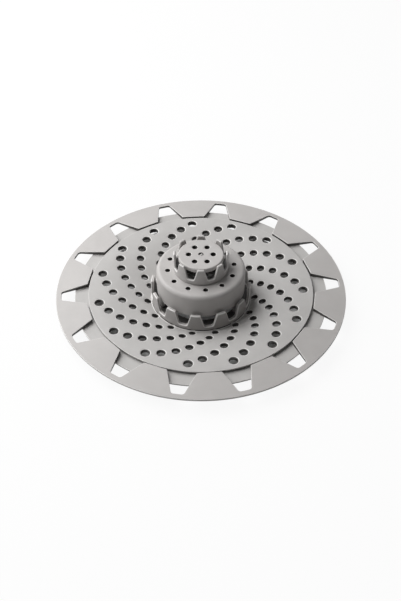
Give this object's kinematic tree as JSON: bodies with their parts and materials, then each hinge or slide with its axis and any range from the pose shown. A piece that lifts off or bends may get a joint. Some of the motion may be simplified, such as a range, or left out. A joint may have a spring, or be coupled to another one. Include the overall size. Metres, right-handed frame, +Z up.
{
  "type": "drain hair catcher",
  "caption": "Round rubbery drain hair catcher: a toothed rim ring on a perforated dish, with a two-step tower of castellated crowns and perforated covers that lift apart.",
  "frame": {"origin": "middle of the round foot, on the surface that it stands on", "axes": "+Z up, along the axis of the stack; +Y is the back of the picture"},
  "size_m": [0.13, 0.13, 0.0284],
  "materials": {
    "ring": "matte",
    "dish": "matte",
    "crown": "matte",
    "dome": "matte",
    "small_crown": "matte",
    "cap": "matte",
    "pin": "matte"
  },
  "bodies": {
    "dish": {"strainer_dish": "dish"},
    "ring": {"rim_ring": "ring"},
    "crown": {"lower_crown": "crown"},
    "dome": {"dome_cover": "dome"},
    "small_crown": {"upper_crown": "small_crown", "centre_pin": "pin"},
    "cap": {"top_cap": "cap"}
  },
  "joints": [
    {"name": "rim_lift", "type": "slide", "parent": "dish", "child": "ring", "axis": [0, 0, 1], "range_m": [0, 0.03]},
    {"name": "tower_lift", "type": "slide", "parent": "dish", "child": "crown", "axis": [0, 0, 1], "range_m": [0, 0.02]},
    {"name": "dome_lift", "type": "slide", "parent": "crown", "child": "dome", "axis": [0, 0, 1], "range_m": [0, 0.015]},
    {"name": "small_lift", "type": "slide", "parent": "dome", "child": "small_crown", "axis": [0, 0, 1], "range_m": [0, 0.012]},
    {"name": "cap_lift", "type": "slide", "parent": "small_crown", "child": "cap", "axis": [0, 0, 1], "range_m": [0, 0.012]}
  ]
}
